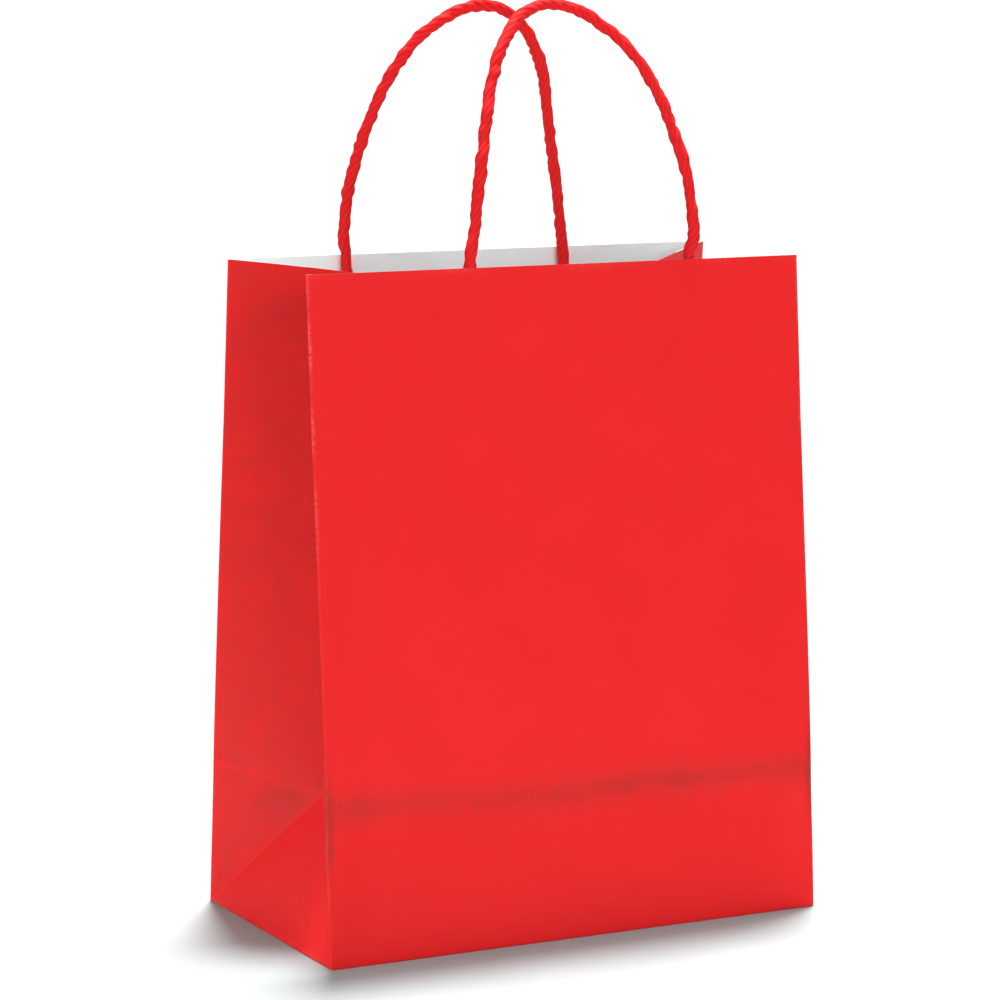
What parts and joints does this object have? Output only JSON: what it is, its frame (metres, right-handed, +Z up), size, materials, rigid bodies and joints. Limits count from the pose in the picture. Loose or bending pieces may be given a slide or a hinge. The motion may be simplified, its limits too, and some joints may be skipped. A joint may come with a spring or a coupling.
{
  "type": "paper gift bag",
  "caption": "Flat-bottomed paper gift bag with folded-in side gussets, a card in its base and twisted paper cord handles.",
  "frame": {"origin": "middle of the base, on the floor", "axes": "+Z up through the mouth, +X along the bag's width, +Y from the front panel to the rear panel"},
  "size_m": [0.2204, 0.12, 0.3732],
  "materials": {
    "bag_paper": "satin, red printed outside, white inside",
    "bag_lining": "matte white",
    "patch_paper": "matte white",
    "base_card": "matte pale grey board",
    "handle_cord": "twisted, lightly waxed"
  },
  "bodies": {
    "base": {"bottom_flap_front": "bag_paper", "bottom_flap_rear": "bag_paper", "bottom_tuck_left": "bag_paper", "bottom_tuck_right": "bag_paper", "base_card": "base_card"},
    "front_wall": {"front_panel": "bag_paper", "front_patch_backing": "patch_paper", "front_patch_cover": "patch_paper", "front_handle_ends": "handle_cord"},
    "rear_wall": {"rear_panel": "bag_paper", "side_seam_tab": "bag_lining", "rear_patch_backing": "patch_paper", "rear_patch_cover": "patch_paper", "rear_handle_ends": "handle_cord"},
    "left_foot": {"left_gusset_foot": "bag_paper"},
    "right_foot": {"right_gusset_foot": "bag_paper"},
    "left_front_gusset": {"left_gusset_front_half": "bag_paper"},
    "left_rear_gusset": {"left_gusset_rear_half": "bag_paper"},
    "right_front_gusset": {"right_gusset_front_half": "bag_paper"},
    "right_rear_gusset": {"right_gusset_rear_half": "bag_paper"},
    "front_neck": {"front_handle_necks": "handle_cord"},
    "rear_neck": {"rear_handle_necks": "handle_cord"},
    "front_loop": {"front_handle_loop": "handle_cord"},
    "rear_loop": {"rear_handle_loop": "handle_cord"}
  },
  "joints": [
    {"name": "mouth_close", "type": "hinge", "parent": "base", "child": "front_wall", "pos_m": [0, -0.06, 0], "axis": [-1, 0, 0], "range_deg": [-1.5, 6], "stiffness_Nm_per_rad": 0.3},
    {"name": "rear_wall_lean", "type": "hinge", "parent": "base", "child": "rear_wall", "pos_m": [0, 0.06, 0], "axis": [1, 0, 0], "range_deg": [-1.6, 6.1]},
    {"name": "left_foot_fold", "type": "hinge", "parent": "base", "child": "left_foot", "pos_m": [-0.11, 0, 0], "axis": [0, 1, 0], "range_deg": [-2.9, 11.2]},
    {"name": "right_foot_fold", "type": "hinge", "parent": "base", "child": "right_foot", "pos_m": [0.11, 0, 0], "axis": [0, -1, 0], "range_deg": [-2.9, 11.2]},
    {"name": "left_front_gusset_fold", "type": "hinge", "parent": "front_wall", "child": "left_front_gusset", "pos_m": [-0.11, -0.0597, -0.00002], "axis": [0, -0.0815, -0.9967], "range_deg": [-8, 31.5]},
    {"name": "right_front_gusset_fold", "type": "hinge", "parent": "front_wall", "child": "right_front_gusset", "pos_m": [0.11, -0.0597, -0.00002], "axis": [0, 0.0815, 0.9967], "range_deg": [-8, 31.5]},
    {"name": "left_rear_gusset_fold", "type": "hinge", "parent": "rear_wall", "child": "left_rear_gusset", "pos_m": [-0.11, 0.0597, -0.00002], "axis": [0, -0.0815, 0.9967], "range_deg": [-8, 31.5]},
    {"name": "right_rear_gusset_fold", "type": "hinge", "parent": "rear_wall", "child": "right_rear_gusset", "pos_m": [0.11, 0.0597, -0.00002], "axis": [0, 0.0815, -0.9967], "range_deg": [-8, 31.5]},
    {"name": "front_neck_lean", "type": "hinge", "parent": "front_wall", "child": "front_neck", "pos_m": [0, -0.03475, 0.27205], "axis": [1, 0, 0], "range_deg": [-4.8, 18.8]},
    {"name": "rear_neck_lean", "type": "hinge", "parent": "rear_wall", "child": "rear_neck", "pos_m": [0, 0.03475, 0.27205], "axis": [-1, 0, 0], "range_deg": [-4.8, 18.8]},
    {"name": "front_handle_swing", "type": "hinge", "parent": "front_neck", "child": "front_loop", "pos_m": [0, -0.0345, 0.28], "axis": [1, 0, 0], "range_deg": [0, 105], "stiffness_Nm_per_rad": 0.02},
    {"name": "rear_handle_swing", "type": "hinge", "parent": "rear_neck", "child": "rear_loop", "pos_m": [0, 0.0345, 0.28], "axis": [-1, 0, 0], "range_deg": [0, 105], "stiffness_Nm_per_rad": 0.02}
  ],
  "couplings": [
    {"joint": "rear_wall_lean", "follows": "mouth_close", "ratio": 1},
    {"joint": "left_foot_fold", "follows": "mouth_close", "ratio": 1.84},
    {"joint": "right_foot_fold", "follows": "mouth_close", "ratio": 1.84},
    {"joint": "left_front_gusset_fold", "follows": "mouth_close", "ratio": 5.2},
    {"joint": "right_front_gusset_fold", "follows": "mouth_close", "ratio": 5.2},
    {"joint": "left_rear_gusset_fold", "follows": "mouth_close", "ratio": 5.2},
    {"joint": "right_rear_gusset_fold", "follows": "mouth_close", "ratio": 5.2},
    {"joint": "front_neck_lean", "follows": "mouth_close", "ratio": 3.1},
    {"joint": "rear_neck_lean", "follows": "mouth_close", "ratio": 3.1}
  ]
}
